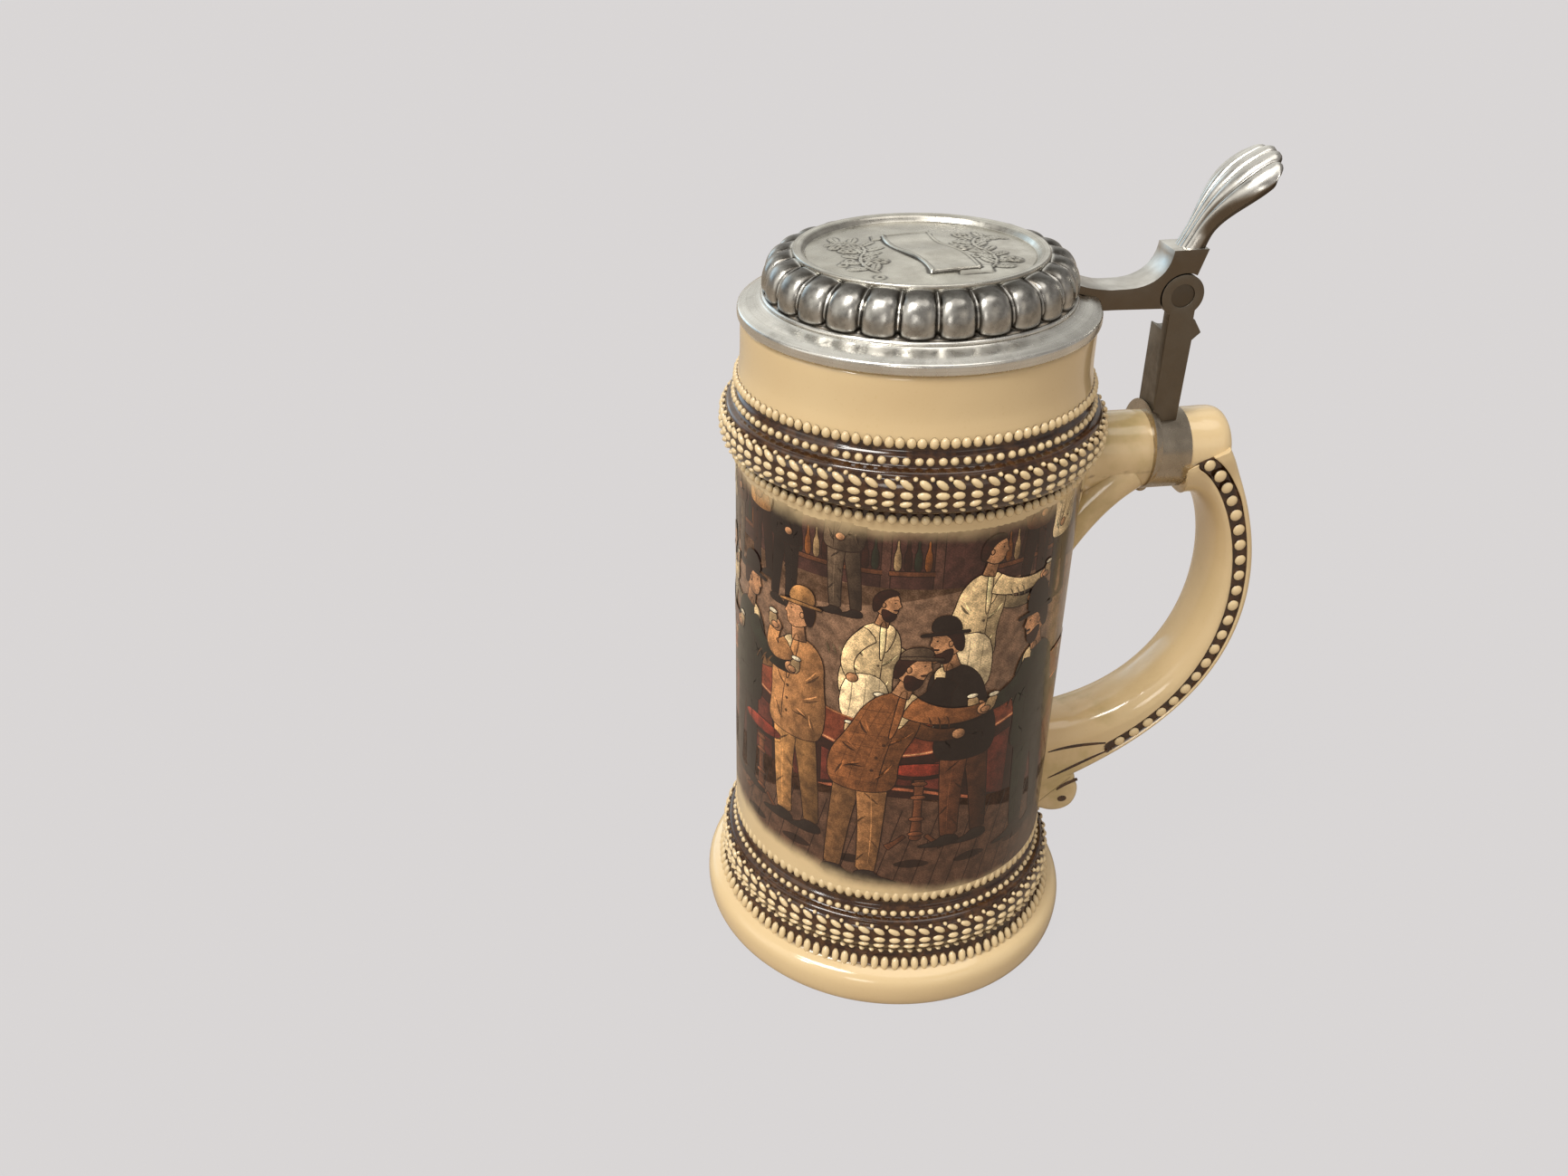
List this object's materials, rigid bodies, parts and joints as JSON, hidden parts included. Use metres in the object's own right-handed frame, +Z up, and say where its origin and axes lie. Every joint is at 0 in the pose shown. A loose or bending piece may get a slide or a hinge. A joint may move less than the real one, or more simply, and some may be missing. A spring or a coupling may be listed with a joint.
{
  "type": "lidded beer stein",
  "caption": "Cylindrical stoneware beer stein with relief bands, a C-shaped handle and a hinged metal lid worked by a thumblift.",
  "frame": {"origin": "centre of the foot ring on the table plane, on the axis of the mug", "axes": "+Z up along the mug axis, +X toward the handle, hinge pin parallel to Y"},
  "size_m": [0.1546, 0.1108, 0.2286],
  "materials": {
    "stoneware_body": "glossy cream glaze with brown relief bands and a printed tavern scene",
    "stoneware_handle": "glossy cream glaze with brown channels",
    "pewter_band": "dark satin pewter",
    "pewter_shank": "dark satin pewter",
    "steel_pin": "satin",
    "pewter_lid": "turned satin pewter",
    "pewter_dome": "polished pewter with dark patina in the grooves",
    "pewter_bezel": "polished pewter",
    "pewter_medallion": "antiqued relief pewter",
    "pewter_lever": "satin pewter",
    "pewter_thumblift": "satin pewter"
  },
  "bodies": {
    "mug": {"mug_body": "stoneware_body", "handle": "stoneware_handle", "handle_band": "pewter_band", "shank": "pewter_shank", "hinge_pin": "steel_pin"},
    "lid": {"lid_flange": "pewter_lid", "gadroon_dome": "pewter_dome", "medallion_bezel": "pewter_bezel", "medallion": "pewter_medallion", "lever_arm": "pewter_lever", "thumblift": "pewter_thumblift"}
  },
  "joints": [
    {"name": "lid_hinge", "type": "hinge", "parent": "mug", "child": "lid", "pos_m": [0.0675, 0, 0.194], "axis": [0, 1, 0], "range_deg": [0, 100]}
  ]
}
